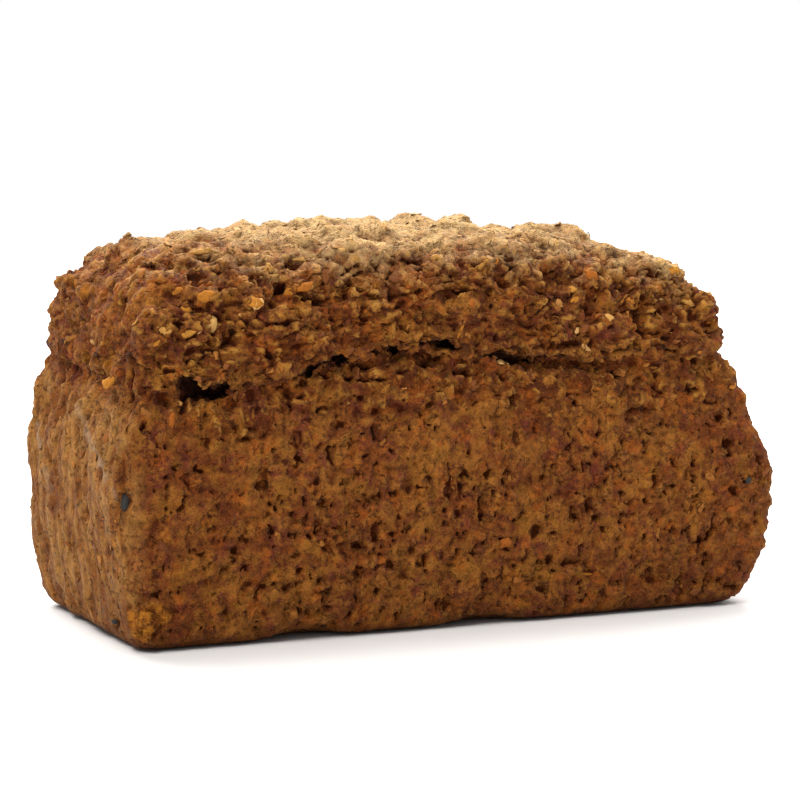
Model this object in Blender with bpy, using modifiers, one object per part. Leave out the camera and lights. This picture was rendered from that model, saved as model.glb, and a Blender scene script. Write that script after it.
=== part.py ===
"""A wholegrain spelt loaf from a small tin, as one solid.

The dough that stood in the tin has slanting ends, nearly upright long sides and round corners, with pits
where air was trapped against the metal. Above the tin it swelled into a rough shoulder, tore open along a
crack and rose as a craggy crown, which is crusted with flakes of spelt.

Metres, +Z up. X runs along the loaf, the side that shows best faces -Y, and the origin is the middle of the
flat base. Run it with blender --background --python part.py, or from Blender's text editor.
"""

import math
import random

import bmesh
import bpy
import numpy as np
from mathutils import Matrix, Vector, noise

# The box that the dough fills before its relief
HALF_LENGTH = 0.1000
HALF_WIDTH = 0.0455

# Cuts of the cage, as shares of the half length and of the half width
LENGTH_CUTS = (-1.0, -0.91, -0.70, -0.36, 0.0, 0.36, 0.70, 0.91, 1.0)
WIDTH_CUTS = (-1.0, -0.78, -0.28, 0.28, 0.78, 1.0)

# Levels of the part below the crack: share of the crack's height, then the insets at the left end, at the
# right end and at the long sides
BODY_LEVELS = (
    (0.00, 0.0055, 0.0128, 0.0030),
    (0.13, 0.0034, 0.0052, 0.0020),
    (0.38, 0.0010, 0.0005, 0.0006),
    (0.62, 0.0000, 0.0028, 0.0000),
    (0.84, 0.0015, 0.0098, 0.0002),
    (1.00, 0.0080, 0.0200, 0.0020),
)

# Levels of the crown: share of its rise above the crack, then the same insets
CROWN_LEVELS = (
    (0.14, 0.0075, 0.0198, 0.0008),
    (0.42, 0.0068, 0.0195, 0.0016),
    (0.74, 0.0085, 0.0240, 0.0055),
)
CROWN_TOP_INSETS = (0.0165, 0.0370, 0.0150)
CROWN_SIDE_FALL = 0.0060

# Heights along the loaf: the crack on the front and on the back, and the top of the crown
CRACK_FRONT = ((-0.100, 0.067), (-0.070, 0.068), (-0.020, 0.0765), (0.025, 0.0735), (0.100, 0.0735))
CRACK_BACK = 0.0745
CROWN_TOP = (
    (-0.080, 0.1050),
    (-0.055, 0.1115),
    (-0.030, 0.1122),
    (0.002, 0.1117),
    (0.036, 0.1113),
    (0.062, 0.1028),
)

# The crack and the lip that hangs over it
CRACK_DEPTH = 0.0060
CRACK_SHARE_AT_ENDS = 0.30
CRACK_HALF_WIDTH = 0.0028
LIP_BULGE = 0.0016
LIP_SAG = 0.0018
LIP_REACH = 0.0090

# Two places where the front of the base didn't reach the tin's floor: where along the loaf, and how high
BASE_LIFTS = ((-0.046, 0.0034), (0.007, 0.0030))
BASE_LIFT_HALF_LENGTH = 0.015
BASE_LIFT_DEPTH = 0.016

# Relief of the crust
SWELL_SIZE = 0.034
SWELL_HEIGHT = 0.0016
CRAG_SIZE = 0.0125
CRAG_HEIGHT = 0.0060
SHOULDER_SHARE = 0.45
WALL_SHARE = 0.10
PIT_SPACING = 0.0100
PIT_RADIUS = 0.0044
PIT_DEPTH = 0.0023
PIT_STRETCH = 1.5
BASE_MARGIN = 0.0060

# Flakes of spelt on the crown
FLAKE_COUNT = 80
FLAKE_SIDES = 6
FLAKE_RADII = (0.0022, 0.0037)
FLAKE_THICKNESS = 0.0013
FLAKE_TILT = math.radians(20)
FLAKE_APART = 0.0070
FLAKE_SEED = 41

# Fineness of the mesh
CAGE_LEVELS = 4
LOAF_TRIANGLES = 7200

CRUST_COLOUR = (0.150, 0.050, 0.014, 1.0)
CRUST_ROUGHNESS = 0.62


def clear_scene():
    for obj in list(bpy.data.objects):
        bpy.data.objects.remove(obj)


def height_along(stations, x):
    """A height between stations along the loaf."""
    return float(np.interp(x, *zip(*stations)))


def ease(low, high, value):
    """0 below low, 1 above high, and smooth in between."""
    share = min(1.0, max(0.0, (value - low) / (high - low)))
    return share * share * (3 - 2 * share)


def crack_height(x, y):
    """The crack's height, from its own line on the front to an even one on the back."""
    depth = min(1.0, max(0.0, 0.5 + 0.5 * y / HALF_WIDTH))
    return height_along(CRACK_FRONT, x) * (1 - depth) + CRACK_BACK * depth


def section_point(u, v, insets):
    """The plan point at shares u and v of a section whose ends and sides are set in."""
    left, right, side = insets
    x = (u * (2 * HALF_LENGTH - left - right) + left - right) / 2
    return x, v * (HALF_WIDTH - side)


def cage_point(u, v, level):
    """Where one corner of the cut box goes. Levels run up the body, then the crown, then its top."""
    if level < len(BODY_LEVELS):
        share, *insets = BODY_LEVELS[level]
        x, y = section_point(u, v, insets)
        return Vector((x, y, share * crack_height(x, y)))
    level -= len(BODY_LEVELS)
    if level < len(CROWN_LEVELS):
        share, *insets = CROWN_LEVELS[level]
    else:
        share, insets = 1.0, CROWN_TOP_INSETS
    x, y = section_point(u, v, insets)
    crack = crack_height(x, y)
    top = height_along(CROWN_TOP, x)
    if share == 1.0:
        top -= CROWN_SIDE_FALL * (abs(y) / HALF_WIDTH) ** 2
    return Vector((x, y, crack + share * (top - crack)))


def cut_box(mesh):
    """A cube cut into a grid, whose corners are numbered by their cuts along X, Y and Z."""
    counts = (len(LENGTH_CUTS), len(WIDTH_CUTS), len(BODY_LEVELS) + len(CROWN_LEVELS) + 1)
    bmesh.ops.create_cube(mesh, size=1.0, matrix=Matrix.Translation((0.5, 0.5, 0.5)))
    for axis, count in enumerate(counts):
        for cut in range(1, count - 1):
            normal = Vector((0.0, 0.0, 0.0))
            normal[axis] = 1.0
            bmesh.ops.bisect_plane(
                mesh,
                geom=mesh.verts[:] + mesh.edges[:] + mesh.faces[:],
                plane_co=normal * (cut / (count - 1)),
                plane_no=normal,
            )
    return counts


def smooth_dough():
    """The loaf's form without relief: a cage of sections, smoothed by subdivision."""
    mesh = bmesh.new()
    counts = cut_box(mesh)
    for vert in mesh.verts:
        i, j, k = (round(share * (count - 1)) for share, count in zip(vert.co, counts))
        vert.co = cage_point(LENGTH_CUTS[i], WIDTH_CUTS[j], k)
    cage = bpy.data.meshes.new("cage")
    mesh.to_mesh(cage)
    mesh.free()
    obj = bpy.data.objects.new("spelt_loaf", cage)
    subdivision = obj.modifiers.new("soft dough", "SUBSURF")
    subdivision.levels = CAGE_LEVELS
    subdivision.render_levels = CAGE_LEVELS
    return obj


def applied(obj, collection):
    """The same object with its modifiers turned into mesh."""
    if obj.name not in collection.objects:
        collection.objects.link(obj)
    bpy.context.view_layer.update()
    graph = bpy.context.evaluated_depsgraph_get()
    mesh = bpy.data.meshes.new_from_object(obj.evaluated_get(graph))
    obj.modifiers.clear()
    obj.data = mesh
    return obj


def crags(point):
    """Lumps with sharp valleys between them, about -0.5 to 0.5 high."""
    folds = noise.turbulence(point / CRAG_SIZE, 2, True, amplitude_scale=0.35)
    return folds - 0.5


def pit(point):
    """Depth of the pit at a point of the wall, from 0 to 1. Some cells hold none."""
    warped = point + noise.noise_vector(point / 0.006) * 0.0012
    warped.z /= PIT_STRETCH
    distances, cells = noise.voronoi(warped / PIT_SPACING)
    size = abs(noise.cell(cells[0] * 7.3 + Vector((3.1, 1.7, 0.4))))
    radius = PIT_RADIUS / PIT_SPACING * size
    if size < 0.35:
        return 0.0
    return 1.0 - ease(0.35, 1.0, distances[0] / radius)


def crack_shift(point, outward):
    """How the crack and the lip above it move a point."""
    above = point.z - crack_height(point.x, point.y)
    ragged = 0.75 * noise.noise(point / 0.012) + 0.35 * noise.noise(point / 0.004)
    above += 0.0030 * ragged
    open_share = ease(-0.20, 0.30, noise.noise(Vector((point.x, point.y, 0.0)) / 0.030))
    at_ends = ease(0.55, 0.85, abs(point.x) / HALF_LENGTH)
    depth_share = (1 - (1 - CRACK_SHARE_AT_ENDS) * at_ends) * (0.20 + 0.80 * open_share)
    groove = math.exp(-((above / CRACK_HALF_WIDTH) ** 2)) * depth_share
    lip = ease(0.0, CRACK_HALF_WIDTH, above) * (1 - ease(CRACK_HALF_WIDTH, LIP_REACH, above))
    shift = outward * (LIP_BULGE * lip - CRACK_DEPTH * groove)
    shift.z -= LIP_SAG * lip
    return shift


def base_lift(point):
    """How far the base stands off the table along two stretches of its front edge."""
    depth = 1 - ease(0.2, 1.0, (point.y + HALF_WIDTH) / BASE_LIFT_DEPTH)
    low = 1 - ease(0.0, BASE_LIFT_DEPTH, point.z)
    rise = sum(
        height * (1 - ease(0.0, 1.0, abs(point.x - x) / BASE_LIFT_HALF_LENGTH)) for x, height in BASE_LIFTS
    )
    return rise * depth * low


def carve_relief(mesh):
    """Moves each point of the smooth dough to the crust's surface. The base stays flat."""
    normals = [vert.normal.copy() for vert in mesh.vertices]
    for vert, normal in zip(mesh.vertices, normals):
        point = vert.co.copy()
        crack = crack_height(point.x, point.y)
        crown = ease(crack - 0.002, crack + 0.006, point.z)
        shoulder = ease(0.60 * crack, 0.80 * crack, point.z)
        amount = WALL_SHARE + (SHOULDER_SHARE - WALL_SHARE) * shoulder + (1 - SHOULDER_SHARE) * crown
        height = CRAG_HEIGHT * crags(point) * amount
        height += SWELL_HEIGHT * noise.noise(point / SWELL_SIZE) * (0.4 + 0.6 * crown)
        height -= PIT_DEPTH * pit(point) * (1 - shoulder)
        outward = Vector((normal.x, normal.y, 0.0))
        side = ease(0.3, 0.8, outward.length)
        clear_of_base = ease(0.0, BASE_MARGIN, point.z)
        shift = normal * height * clear_of_base
        if side > 0:
            shift += crack_shift(point, outward.normalized()) * side
        shift.z += base_lift(point)
        vert.co = point + shift


def flake_mesh(chance):
    """One flake: a thin uneven disc, thicker in the middle than a leaf and bent a little."""
    mesh = bmesh.new()
    radius = chance.uniform(*FLAKE_RADII)
    bmesh.ops.create_cone(
        mesh,
        cap_ends=True,
        segments=FLAKE_SIDES,
        radius1=radius,
        radius2=radius * 0.82,
        depth=FLAKE_THICKNESS,
    )
    narrow = chance.uniform(0.55, 0.85)
    bend = chance.uniform(-14, 22)
    for vert in mesh.verts:
        vert.co.x *= chance.uniform(0.80, 1.20)
        vert.co.y *= narrow * chance.uniform(0.80, 1.20)
        vert.co.z -= bend * vert.co.x**2
    result = bpy.data.meshes.new("flake")
    mesh.to_mesh(result)
    mesh.free()
    return result


def flake_places(loaf_mesh, chance):
    """Points of the crown for flakes, taken at random and kept apart, each with its normal."""
    faces = [
        face
        for face in loaf_mesh.polygons
        if face.center.z > crack_height(face.center.x, face.center.y) + 0.006
    ]
    chance.shuffle(faces)
    places = []
    for face in faces:
        if all((face.center - place).length > FLAKE_APART for place, _ in places):
            places.append((face.center.copy(), face.normal.copy()))
        if len(places) == FLAKE_COUNT:
            break
    return places


def scatter_flakes(loaf_mesh, collection):
    chance = random.Random(FLAKE_SEED)
    for number, (place, normal) in enumerate(flake_places(loaf_mesh, chance)):
        flake = bpy.data.objects.new(f"flake_{number:03d}", flake_mesh(chance))
        turn = Matrix.Rotation(chance.uniform(0, 2 * math.pi), 4, "Z")
        tilt = Matrix.Rotation(chance.uniform(-FLAKE_TILT, FLAKE_TILT), 4, "Y")
        upright = normal.to_track_quat("Z", "Y").to_matrix().to_4x4()
        flake.matrix_world = Matrix.Translation(place) @ upright @ turn @ tilt
        collection.objects.link(flake)


def fuse_flakes(loaf, collection, flakes):
    union = loaf.modifiers.new("flakes in the crust", "BOOLEAN")
    union.operation = "UNION"
    union.operand_type = "COLLECTION"
    union.collection = flakes
    union.solver = "MANIFOLD"
    applied(loaf, collection)
    for flake in list(flakes.objects):
        bpy.data.objects.remove(flake)
    bpy.data.collections.remove(flakes)


def keep_biggest_piece(obj):
    """Drops any scrap that the union leaves loose."""
    mesh = bmesh.new()
    mesh.from_mesh(obj.data)
    waiting = set(mesh.verts)
    pieces = []
    while waiting:
        edge = [waiting.pop()]
        piece = set(edge)
        while edge:
            near = {link.other_vert(vert) for vert in edge for link in vert.link_edges} & waiting
            waiting -= near
            piece |= near
            edge = list(near)
        pieces.append(piece)
    pieces.sort(key=len)
    for piece in pieces[:-1]:
        bmesh.ops.delete(mesh, geom=list(piece), context="VERTS")
    mesh.to_mesh(obj.data)
    mesh.free()


def thin_out(loaf, collection):
    """Keeps the triangles where the relief needs them."""
    loaf.data.calc_loop_triangles()
    decimate = loaf.modifiers.new("fewer triangles", "DECIMATE")
    decimate.ratio = LOAF_TRIANGLES / len(loaf.data.loop_triangles)
    decimate.use_collapse_triangulate = True
    return applied(loaf, collection)


def centre_on_base(mesh):
    """The origin goes to the middle of the base, under the middle of the loaf's box."""
    points = np.array([vert.co for vert in mesh.vertices])
    low, high = points.min(axis=0), points.max(axis=0)
    mesh.transform(Matrix.Translation((-(low[0] + high[0]) / 2, -(low[1] + high[1]) / 2, -low[2])))


def crust_material():
    material = bpy.data.materials.new("spelt crust")
    material.use_nodes = True
    shader = material.node_tree.nodes["Principled BSDF"]
    shader.inputs["Base Color"].default_value = CRUST_COLOUR
    shader.inputs["Roughness"].default_value = CRUST_ROUGHNESS
    shader.inputs["Metallic"].default_value = 0.0
    return material


def main():
    clear_scene()
    bread = bpy.data.collections.new("spelt bread")
    flakes = bpy.data.collections.new("flakes")
    for collection in (bread, flakes):
        bpy.context.scene.collection.children.link(collection)
    loaf = applied(smooth_dough(), bread)
    carve_relief(loaf.data)
    thin_out(loaf, bread)
    scatter_flakes(loaf.data, flakes)
    fuse_flakes(loaf, bread, flakes)
    keep_biggest_piece(loaf)
    centre_on_base(loaf.data)
    loaf.data.materials.clear()
    loaf.data.materials.append(crust_material())
    loaf.data.shade_smooth()
    loaf.data.set_sharp_from_angle(angle=math.radians(40))


main()
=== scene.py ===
# %% [markdown]
# # A small spelt loaf from a tin
# A wholegrain loaf has two characters. Where the dough stood in the tin it is flat and full of little pits,
# left by air that was caught against the metal. Above the tin it tore open and rose as a craggy crown, with
# flakes of spelt baked into it. This lesson keeps the form of the measured solid and remakes its skin.

# %% The frame and its box
import math
import random

import bmesh
import bpy
import numpy as np
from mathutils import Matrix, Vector, noise
from mathutils.bvhtree import BVHTree


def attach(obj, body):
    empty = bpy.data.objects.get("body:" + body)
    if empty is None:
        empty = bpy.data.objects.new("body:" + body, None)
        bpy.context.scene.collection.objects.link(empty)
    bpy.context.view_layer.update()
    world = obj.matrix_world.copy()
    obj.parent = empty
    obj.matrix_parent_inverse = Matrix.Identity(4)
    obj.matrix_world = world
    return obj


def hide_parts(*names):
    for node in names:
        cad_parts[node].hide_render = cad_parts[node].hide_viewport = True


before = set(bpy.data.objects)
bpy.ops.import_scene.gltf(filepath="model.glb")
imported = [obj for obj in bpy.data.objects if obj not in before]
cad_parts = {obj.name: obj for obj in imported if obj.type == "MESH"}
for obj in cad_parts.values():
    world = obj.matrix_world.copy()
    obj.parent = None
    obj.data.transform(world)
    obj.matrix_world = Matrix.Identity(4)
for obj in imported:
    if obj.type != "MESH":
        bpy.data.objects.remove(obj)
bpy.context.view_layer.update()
MM = 0.001

# %% [markdown]
# ## Camera
# The photograph was taken from close by, a little above the table, from the left of the long side. A long
# lens from 72 cm away gives the same slant of the base line. The camera only needs a point to look at, two
# angles and a distance, and the same point helps to place small things later on.

# %% The camera
LOOK_AT = Vector((0.0003, 0.0, 0.0594))
AZIMUTH = math.radians(-24)
ELEVATION = math.radians(5.5)
DISTANCE = 0.72
FOCAL_PIXELS = 2500
FRAME_PIXELS = 800
SENSOR_MM = 36

towards_camera = Vector((
    math.sin(AZIMUTH) * math.cos(ELEVATION),
    -math.cos(AZIMUTH) * math.cos(ELEVATION),
    math.sin(ELEVATION),
))
camera = bpy.data.objects.new("camera", bpy.data.cameras.new("camera"))
camera.data.sensor_width = SENSOR_MM
camera.data.lens = FOCAL_PIXELS / FRAME_PIXELS * SENSOR_MM
camera.data.clip_start = 0.01
camera.location = LOOK_AT + towards_camera * DISTANCE
camera.rotation_euler = towards_camera.to_track_quat("Z", "Y").to_euler()
bpy.context.scene.collection.objects.link(camera)
bpy.context.scene.camera = camera
print("lens in mm:", camera.data.lens)

# %% [markdown]
# ## Light and table
# The loaf stands in soft light on a white table. The strongest light comes from behind and brightens the top
# of the crown, a window on the left lights that end, and a weak light from the right warms the other one. The
# long side stays in gentle shade. Wide suns and white surroundings give that without hard shadows.

# %% Lamps and surroundings
LAMP_TINT = (1.0, 0.97, 0.92)
# Name, direction towards the lamp, strength, and width in degrees
SUNS = (
    ("window", (-0.50, -0.26, 0.83), 2.8, 35),
    ("back", (0.12, 0.56, 0.82), 6.3, 60),
    ("side", (0.80, 0.02, 0.60), 1.1, 40),
)
for name, towards, strength, width in SUNS:
    sun = bpy.data.objects.new(name, bpy.data.lights.new(name, "SUN"))
    sun.data.energy = strength
    sun.data.angle = math.radians(width)
    sun.data.color = LAMP_TINT
    sun.rotation_euler = Vector(towards).to_track_quat("Z", "Y").to_euler()
    bpy.context.scene.collection.objects.link(sun)

# The surroundings are pure white to the camera and less than half as bright to the loaf
FILL = 0.455
world = bpy.data.worlds.new("surroundings")
world.use_nodes = True
background = world.node_tree.nodes["Background"]
background.inputs["Color"].default_value = (1.0, 1.0, 1.0, 1.0)
seen = world.node_tree.nodes.new("ShaderNodeLightPath").outputs["Is Camera Ray"]
level = world.node_tree.nodes.new("ShaderNodeMapRange")
level.inputs["To Min"].default_value = FILL
world.node_tree.links.new(seen, level.inputs["Value"])
world.node_tree.links.new(level.outputs["Result"], background.inputs["Strength"])
bpy.context.scene.world = world
bpy.context.scene.view_settings.view_transform = "Standard"
print("lamps:", ", ".join(name for name, *_ in SUNS))

# %% The table
TABLE_SIZE = 6.0
TABLE_WHITE = (0.72, 0.72, 0.73, 1.0)
TABLE_ROUGHNESS = 0.6

table_mesh = bmesh.new()
bmesh.ops.create_grid(table_mesh, x_segments=1, y_segments=1, size=TABLE_SIZE / 2)
table_data = bpy.data.meshes.new("table")
table_mesh.to_mesh(table_data)
table_mesh.free()
table = bpy.data.objects.new("table", table_data)
bpy.context.scene.collection.objects.link(table)
white = bpy.data.materials.new("white table")
white.use_nodes = True
white_shader = white.node_tree.nodes["Principled BSDF"]
white_shader.inputs["Base Color"].default_value = TABLE_WHITE
white_shader.inputs["Roughness"].default_value = TABLE_ROUGHNESS
table_data.materials.append(white)
print("table:", TABLE_SIZE, "m wide")

# %% [markdown]
# ## Small tools for nodes
# Both the crust's relief and its colour are node trees. Written one node at a time they would be long, so a
# little helper adds a node, fills its sockets with numbers or links, and hands back its output. A formula of
# nodes then reads almost like a formula of numbers.

# %% A helper that writes node trees
class Wiring:
    def __init__(self, tree):
        self.tree = tree

    def add(self, kind, inputs=None, **settings):
        made = self.tree.nodes.new(kind)
        for name, value in settings.items():
            setattr(made, name, value)
        for key, value in (inputs or {}).items():
            if isinstance(value, bpy.types.NodeSocket):
                self.tree.links.new(value, made.inputs[key])
            else:
                made.inputs[key].default_value = value
        return made

    def math(self, operation, *values):
        return self.add("ShaderNodeMath", dict(enumerate(values)), operation=operation).outputs[0]

    def times(self, first, *others):
        """The product of two or more values."""
        for other in others:
            first = self.math("MULTIPLY", first, other)
        return first

    def vector(self, operation, *values):
        made = self.add("ShaderNodeVectorMath", dict(enumerate(values)), operation=operation)
        return made.outputs["Value" if operation == "DOT_PRODUCT" else "Vector"]

    def scaled(self, vector, factor):
        """A vector or a colour times one number."""
        inputs = {0: vector, "Scale": factor}
        return self.add("ShaderNodeVectorMath", inputs, operation="SCALE").outputs[0]

    def stretch(self, where, factors):
        return self.vector("MULTIPLY", where, factors)

    def noise(self, where, size, detail=2.0, roughness=0.5, output="Fac"):
        inputs = {"Vector": where, "Scale": 1 / size, "Detail": detail, "Roughness": roughness}
        return self.add("ShaderNodeTexNoise", inputs).outputs[output]

    def cells(self, where, size, feature="F1"):
        inputs = {"Vector": where, "Scale": 1 / size}
        return self.add("ShaderNodeTexVoronoi", inputs, feature=feature)

    def warp(self, where, size, reach):
        """Pushes positions about by up to reach, so that no pattern looks ruled."""
        push = self.noise(where, size, output="Color")
        centred = self.vector("SUBTRACT", push, (0.5, 0.5, 0.5))
        return self.vector("MULTIPLY_ADD", centred, (2 * reach,) * 3, where)

    def ramp(self, value, low, high, to_low=0.0, to_high=1.0, smooth=True):
        """A value between low and high becomes one between to_low and to_high."""
        inputs = {"Value": value, "From Min": low, "From Max": high, "To Min": to_low, "To Max": to_high}
        kind = "SMOOTHSTEP" if smooth else "LINEAR"
        return self.add("ShaderNodeMapRange", inputs, interpolation_type=kind).outputs["Result"]


# %% Trees and modifiers on an object
def relief_tree(name):
    """A Geometry Nodes tree that takes a mesh and gives one, with its wiring."""
    tree = bpy.data.node_groups.new(name, "GeometryNodeTree")
    tree.interface.new_socket("Geometry", in_out="INPUT", socket_type="NodeSocketGeometry")
    tree.interface.new_socket("Geometry", in_out="OUTPUT", socket_type="NodeSocketGeometry")
    wiring = Wiring(tree)
    return tree, wiring, wiring.add("NodeGroupInput"), wiring.add("NodeGroupOutput")


def number_inputs(tree, start, named):
    """A named number on the modifier for each entry, and the sockets that carry them inside the tree."""
    for name, value in named.items():
        socket = tree.interface.new_socket(name, in_out="INPUT", socket_type="NodeSocketFloat")
        socket.default_value = value
    return {name: start.outputs[name] for name in named}


def plain_mesh(obj, name):
    """The object's evaluated mesh as a new object without modifiers, in place of the old one."""
    bpy.context.view_layer.update()
    graph = bpy.context.evaluated_depsgraph_get()
    mesh = bpy.data.meshes.new_from_object(obj.evaluated_get(graph))
    mesh.name = name
    bpy.data.objects.remove(obj)
    made = bpy.data.objects.new(name, mesh)
    bpy.context.scene.collection.objects.link(made)
    return made


def with_modifier(obj, kind, **settings):
    """The object after one modifier, as a plain mesh."""
    modifier = obj.modifiers.new(kind.lower(), kind)
    for name, value in settings.items():
        setattr(modifier, name, value)
    return plain_mesh(obj, obj.name)


# %% [markdown]
# ## The two halves of the dough
# The crown tore away from the part in the tin. The two are made as two closed pieces that share a hidden
# root, so the tear between them is a real slot with dark ends, not a painted line, and painted shade darkens
# it further. Each half starts as a copy of the measured solid. What lies beyond the tear is pushed inwards
# and flattened, and a voxel remesh turns the result into even, closed faces.

# %% Where the tear runs
HALF_WIDTH = 0.0455
# Along the loaf, and the height of the tear on the front there
TEAR_FRONT = (
    (-0.100, 0.0775), (-0.090, 0.0765), (-0.083, 0.0690), (-0.076, 0.0676), (-0.047, 0.0712),
    (-0.038, 0.0760), (-0.023, 0.0768), (-0.007, 0.0780), (0.006, 0.0755), (0.019, 0.0730),
    (0.038, 0.0738), (0.052, 0.0745), (0.066, 0.0770), (0.082, 0.0795), (0.100, 0.0800),
)
TEAR_BACK = 0.0745
# Two noises make the edge ragged: height, size and seed
EDGE_NOISES = ((0.0018, 0.011, 1.0), (0.0014, 0.0045, 2.0))
# Stretches of the front where the tear gapes: middle along the loaf, half length and height
GAPES = (
    (-0.0803, 0.0048, 0.0062), (-0.0725, 0.0056, 0.0048), (-0.0469, 0.0034, 0.0036),
    (-0.0387, 0.0048, 0.0036), (-0.0229, 0.0068, 0.0036), (-0.0071, 0.0048, 0.0038),
    (0.0187, 0.0130, 0.0032), (0.0378, 0.0055, 0.0030),
)
# Below zero the two halves overlap, so the tear is shut
GAPE_ELSEWHERE = -0.0020
GAPE_BACK = 0.0016
GAPE_NOISE = (0.0018, 0.0045, 4.0)


def ease(low, high, value):
    share = np.clip((value - low) / (high - low), 0.0, 1.0)
    return share * share * (3 - 2 * share)


def wander(points, size, seed):
    """Smooth noise between about -1 and 1 for an array of points."""
    shift = Vector((seed, 2.7 * seed, -1.3 * seed))
    return np.array([noise.noise(Vector(point) / size + shift) for point in points])


def tear_height(points):
    """The tear's height at each point, from its line on the front to an even one on the back."""
    depth = np.clip(0.5 + 0.5 * points[:, 1] / HALF_WIDTH, 0.0, 1.0)
    front = np.interp(points[:, 0], *zip(*TEAR_FRONT))
    level = points * (1, 1, 0)
    ragged = sum(height * wander(level, size, seed) for height, size, seed in EDGE_NOISES)
    return front * (1 - depth) + TEAR_BACK * depth + ragged


def tear_gape(points):
    """How far the tear stands open at each point."""
    at_front = 1 - ease(-0.5 * HALF_WIDTH, 0.2 * HALF_WIDTH, points[:, 1])
    behind = ease(0.0, 0.5, wander(points * (1, 1, 0), 0.024, 3.0)) * (1 - at_front)
    gape = GAPE_ELSEWHERE + GAPE_BACK * behind
    for middle, half_length, height in GAPES:
        near = 1 - ease(0.4, 1.0, np.abs(points[:, 0] - middle) / half_length)
        gape = gape + (height - GAPE_ELSEWHERE) * near * at_front
    height, size, seed = GAPE_NOISE
    return gape + height * wander(points, size, seed)


front_heights = [height for _, height in TEAR_FRONT]
print("the tear on the front lies between", min(front_heights), "and", max(front_heights), "m")

# %% The smooth dough
CLEAN_VOXEL = 1.0 * MM
CLEAN_PASSES = 8
# Small corrections of the form against the photograph: the crown's rise along the loaf,
CROWN_RISE = (
    (-0.096, 0.0006), (-0.086, -0.0006), (-0.068, 0.0004), (-0.050, 0.0),
    (0.030, 0.0), (0.064, 0.0030), (0.085, 0.0014),
)
# which sets in over this height above the tear,
RISE_SPREAD = 0.020
# the right end's swell up the loaf,
END_SWELL = (
    (0.010, 0.0018), (0.030, 0.0016), (0.045, 0.0008), (0.056, -0.0006), (0.062, 0.0004), (0.067, 0.0022),
)
# and the swell of the left and right shoulders just below the tear
SHOULDER_SWELL = (0.0006, 0.0052)
SHOULDER_HEIGHT = 0.0735
SHOULDER_SPREAD = 0.006


def coordinates(mesh):
    points = np.empty(len(mesh.vertices) * 3)
    mesh.vertices.foreach_get("co", points)
    return points.reshape(-1, 3)


def move_points(mesh, points):
    mesh.vertices.foreach_set("co", points.ravel())
    mesh.update()


cad_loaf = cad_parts["spelt_loaf"]
dough = bpy.data.objects.new("dough", cad_loaf.data.copy())
bpy.context.scene.collection.objects.link(dough)
dough = with_modifier(dough, "WELD", merge_threshold=1e-5)
dough = with_modifier(dough, "REMESH", mode="VOXEL", voxel_size=CLEAN_VOXEL, use_smooth_shade=True)
dough = with_modifier(dough, "SMOOTH", factor=0.5, iterations=CLEAN_PASSES)
points = coordinates(dough.data)
above_tear = ease(0.0, RISE_SPREAD, points[:, 2] - tear_height(points))
risen = np.interp(points[:, 0], *zip(*CROWN_RISE))
points[:, 2] += risen * above_tear
swollen = np.interp(points[:, 2], *zip(*END_SWELL))
points[:, 0] += swollen * ease(0.060, 0.092, points[:, 0]) * (1 - above_tear)
at_shoulder = np.exp(-((points[:, 2] - SHOULDER_HEIGHT) / SHOULDER_SPREAD) ** 2)
points[:, 0] -= SHOULDER_SWELL[0] * ease(-0.078, -0.092, points[:, 0]) * at_shoulder
points[:, 0] += SHOULDER_SWELL[1] * ease(0.075, 0.092, points[:, 0]) * at_shoulder
move_points(dough.data, points)
print("smooth dough:", len(dough.data.polygons), "faces")

# %% A half on each side of the tear
SLOT_DEPTH = 0.0100
SLOT_DEPTH_AT_RIGHT = 0.0190
SLOT_TURN = 0.0030
SLOT_DROP = 0.0006
ROOT_LENGTH = 0.0060
SKIN_VOXEL = 0.48 * MM
SKIN_PASSES = 4


def half_of_dough(name, side):
    """One half: side is 1 for the crown and -1 for the body. What lies past the tear is a hidden root."""
    half = bpy.data.objects.new(name, dough.data.copy())
    bpy.context.scene.collection.objects.link(half)
    points = coordinates(half.data)
    edge = tear_height(points) + side * tear_gape(points) / 2
    past = np.maximum(0.0, side * (edge - points[:, 2]))
    inward = SLOT_DEPTH * ease(0.0, SLOT_TURN, past)
    moved = points.copy()
    inward_at_end = inward * np.where(points[:, 0] > 0, SLOT_DEPTH_AT_RIGHT / SLOT_DEPTH, 1.0)
    moved[:, 0] -= np.sign(points[:, 0]) * np.minimum(np.abs(points[:, 0]), inward_at_end)
    moved[:, 1] *= np.clip(1 - inward / HALF_WIDTH, 0.0, 1.0)
    root = ROOT_LENGTH * (1 - np.exp(-np.maximum(0.0, past - SLOT_TURN) / ROOT_LENGTH))
    root += SLOT_DROP * ease(0.0, SLOT_TURN, past)
    moved[:, 2] = np.where(past > 0, edge - side * root, points[:, 2])
    move_points(half.data, moved)
    half = with_modifier(half, "REMESH", mode="VOXEL", voxel_size=SKIN_VOXEL, use_smooth_shade=True)
    half = with_modifier(half, "SMOOTH", factor=0.5, iterations=SKIN_PASSES)
    print(name, "skin:", len(half.data.polygons), "faces")
    return half


def search_tree(obj):
    """Finds places on the mesh fast."""
    corners = [vertex.co for vertex in obj.data.vertices]
    faces = [tuple(face.vertices) for face in obj.data.polygons]
    return BVHTree.FromPolygons(corners, faces)


crown = half_of_dough("crown", 1)
body = half_of_dough("tin_body", -1)
whole = search_tree(dough)
bpy.data.objects.remove(dough)

# %% [markdown]
# ## Where each kind of crust is
# The relief needs to know where it is: how far above or below the tear, and how near the table. Those facts
# are worked out once for every point, and kept on the mesh as named attributes that the node trees read.

# %% Facts kept on the mesh
# The slot is looked for this near the tear
SLOT_REACH = 0.010
# Along the loaf, and how far down the torn, lumpy band below the tear reaches there
TORN_REACH = ((-0.095, 0.009), (-0.080, 0.015), (-0.030, 0.018), (0.050, 0.023), (0.090, 0.026))


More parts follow.
